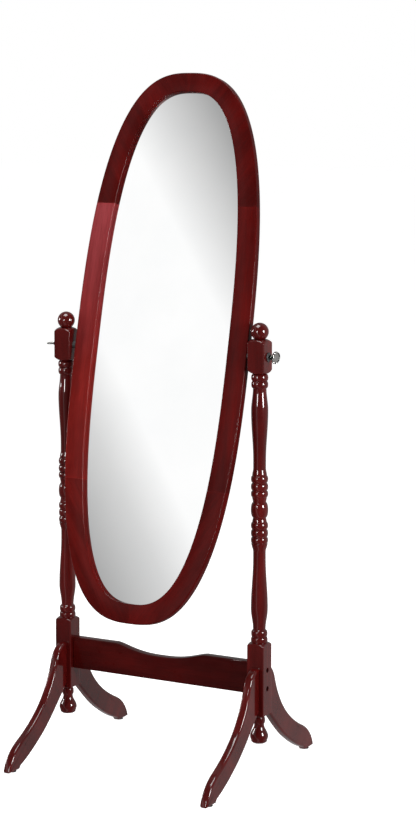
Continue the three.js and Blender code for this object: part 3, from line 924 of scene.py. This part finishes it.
def build_thumbscrew(side):
    """A shank, a collar and a spade grip with a raised border, as one piece."""
    node = f"{side}_thumbscrew"
    low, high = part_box(node)
    outward = SIDES[side]
    near, far = sorted((abs(low.x), abs(high.x)))
    washer_low, washer_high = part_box(f"{side}_pivot_washer")
    collar = max(abs(washer_low.x), abs(washer_high.x)) + GAP
    grip_start = collar + 5 * MM
    profile = [
        (2.2 * MM, near),
        (3 * MM, near + 1.5 * MM),
        (3 * MM, collar),
        (4.2 * MM, collar),
        (4.6 * MM, collar + 0.5 * MM),
        (4.6 * MM, grip_start + 0.6 * MM),
        (4.0 * MM, grip_start + 2.4 * MM),
        (2.6 * MM, grip_start + 5 * MM),
        (0.6 * MM, grip_start + 6 * MM),
    ]
    screw = turning(node, profile, "X", 40)
    outline = grip_outline(grip_start, far)
    grip = plate("grip", outline, 2.6 * MM, 0.9 * MM, 4)
    hollow = inset(outline, 2.2 * MM)
    dishes = []
    for face in (-1, 1):
        dish = plate("dish", hollow, 1.2 * MM, 0.4 * MM, 3)
        dishes.append(moved(dish, Matrix.Translation((0, 0, face * 1.5 * MM))))
    drilled(grip, dishes)
    combined(screw, [grip], "UNION")
    turn = math.radians(GRIP_TURN[side] + 90)
    facing = Matrix.Rotation(0 if outward > 0 else math.pi, 4, "Z")
    moved(screw, Matrix.Translation((0, 0, pivot.z)) @ facing @ Matrix.Rotation(turn, 4, "X"))
    finish_piece(screw, node, f"{side}_screw", nickel)

# ---- The object ---------------------------------------------------------------------------------

for side in SIDES:
    build_post(side)
    for end in ENDS:
        build_leg(end, side)
        build_glide(end, side)
    for level in ("lower", "upper"):
        build_stretcher_bolt(side, level)
        build_barrel_nut(side, level)
    build_ring(f"{side}_pivot_spacer", "stand", 8 * MM, PIVOT_BORE, 0.5 * MM)
    build_ring(f"{side}_pivot_washer", f"{side}_washer", 9.5 * MM, PIVOT_BORE, 0.6 * MM)
    build_thumbscrew(side)
build_stretcher()

for side, across in SIDES.items():
    build_rim_piece(f"rim_{side}_side", "side", across, 1, side_wood[side])
    for level, upward in (("top", 1), ("bottom", -1)):
        build_rim_piece(f"rim_{level}_{side}", "corner", across, upward, corner_wood[f"{level}_{side}"])

GLASS_FRONT = LIP_BACK - GAP
build_sheet("mirror_glass", GLASS_FRONT, 3 * MM, silver, 0.3 * MM)
build_sheet("backing_board", GLASS_FRONT - 3.3 * MM, 3 * MM, board, 0.3 * MM)
for index in range(1, 7):
    build_clip(index)
    build_clip_screw(index)

HIDDEN_PIECES = {"dowel": dowel_wood, "insert": zinc}  # these keep their CAD shapes
for name, node in frame["nodes"].items():
    for word, material in HIDDEN_PIECES.items():
        if word in name:
            for material_slot in node.material_slots:
                material_slot.material = material

# ---- Studio -------------------------------------------------------------------------------------


def build_floor():
    material, tree, shader = new_material("floor")
    place = tree.nodes.new("ShaderNodeTexCoord").outputs["Object"]
    clouds = noise(tree, place, 1.5, 3, 0.5)
    colour = ramp(tree, clouds, [(0.3, (0.50, 0.50, 0.50)), (0.7, (0.54, 0.54, 0.54))])
    tree.links.new(colour, shader.inputs["Base Color"])
    shader.inputs["Roughness"].default_value = 0.9
    shader.inputs["Specular IOR Level"].default_value = 0.0
    shader.inputs["Emission Color"].default_value = (1, 1, 1, 1)
    shader.inputs["Emission Strength"].default_value = 0.86
    far = 30
    corners = [(-far, -far, 0), (far, -far, 0), (far, far, 0), (-far, far, 0)]
    floor = new_object("floor", corners, [(0, 1, 2, 3)])
    floor.data.materials.append(material)
    floor.visible_glossy = False  # else the lacquer and the glass fill with white from below


def aim(obj, place, target):
    obj.location = place
    obj.rotation_mode = "QUATERNION"
    obj.rotation_quaternion = (Vector(target) - Vector(place)).to_track_quat("-Z", "Y")


def soft_box(name, azimuth, distance, bottom, top, width, power):
    """A standing soft box. Azimuth 0 is straight in front of the object and 90 is to its right."""
    light = bpy.data.lights.new(name, "AREA")
    light.shape = "RECTANGLE"
    light.size = width
    light.size_y = top - bottom
    light.energy = power
    obj = bpy.data.objects.new(name, light)
    bpy.context.scene.collection.objects.link(obj)
    turn = math.radians(azimuth)
    middle = (bottom + top) / 2
    aim(obj, (distance * math.sin(turn), -distance * math.cos(turn), middle), (0, 0, middle))


def overhead_box(size, place, power):
    light = bpy.data.lights.new("overhead_box", "AREA")
    light.size = size
    light.energy = power
    obj = bpy.data.objects.new("overhead_box", light)
    bpy.context.scene.collection.objects.link(obj)
    aim(obj, place, (0, 0, 0.9))


def build_world():
    """White where the camera looks straight at it.

    In reflections it is an even grey behind the object, and in front of it a slanted band that
    goes from dim through grey to white and back.
    """
    world = bpy.data.worlds.new("studio")
    bpy.context.scene.world = world
    world.use_nodes = True
    tree = world.node_tree
    background = tree.nodes["Background"]
    direction = tree.nodes.new("ShaderNodeTexCoord").outputs["Generated"]
    parts = tree.nodes.new("ShaderNodeSeparateXYZ")
    tree.links.new(direction, parts.inputs["Vector"])
    slant = tree.nodes.new("ShaderNodeVectorMath")
    slant.operation = "DOT_PRODUCT"
    slant.inputs[1].default_value = (1.7, 0, 1)
    tree.links.new(direction, slant.inputs[0])
    band = spread(tree, slant.outputs["Value"], 0.0, 1.0, -0.80, -0.28)
    dim, grey, pale, white = (0.10,) * 3, (0.42,) * 3, (0.74,) * 3, (1.08,) * 3
    stops = [(0.0, dim), (0.15, scaled(grey, 0.85)), (0.21, grey), (0.31, pale), (0.385, white)]
    stops += [(0.577, white), (0.654, pale), (0.73, grey), (0.81, grey), (1.0, dim)]
    front_band = ramp(tree, band, stops)
    behind = spread(tree, parts.outputs["Y"], 0.0, 1.0, -0.1, 0.35)
    colour = mix_colour(tree, behind, front_band, (0.45, 0.45, 0.45))
    seen = tree.nodes.new("ShaderNodeLightPath").outputs["Is Camera Ray"]
    backdrop = mix_colour(tree, seen, colour, (1.0, 1.0, 1.0))
    tree.links.new(backdrop, background.inputs["Color"])
    background.inputs["Strength"].default_value = 1.0


def build_camera():
    data = bpy.data.cameras.new("camera")
    data.sensor_width = 36
    data.lens = 95.43
    data.shift_y = -0.201
    camera = bpy.data.objects.new("camera", data)
    bpy.context.scene.collection.objects.link(camera)
    camera.location = (2.336, -4.109, 1.471)
    camera.rotation_euler = (math.radians(90 - 4.34), 0, math.radians(28.39))
    bpy.context.scene.camera = camera


build_floor()
build_world()
soft_box("front_box", -3, 3.2, 0.85, 1.65, 0.3, 48)
soft_box("right_box", 80, 2.8, 0.75, 1.75, 0.6, 112)
soft_box("left_box", -72, 3.0, 0.85, 1.65, 0.3, 44)
overhead_box(1.2, (-0.2, -0.5, 2.9), 62)
build_camera()
bpy.context.scene.view_settings.view_transform = "Standard"
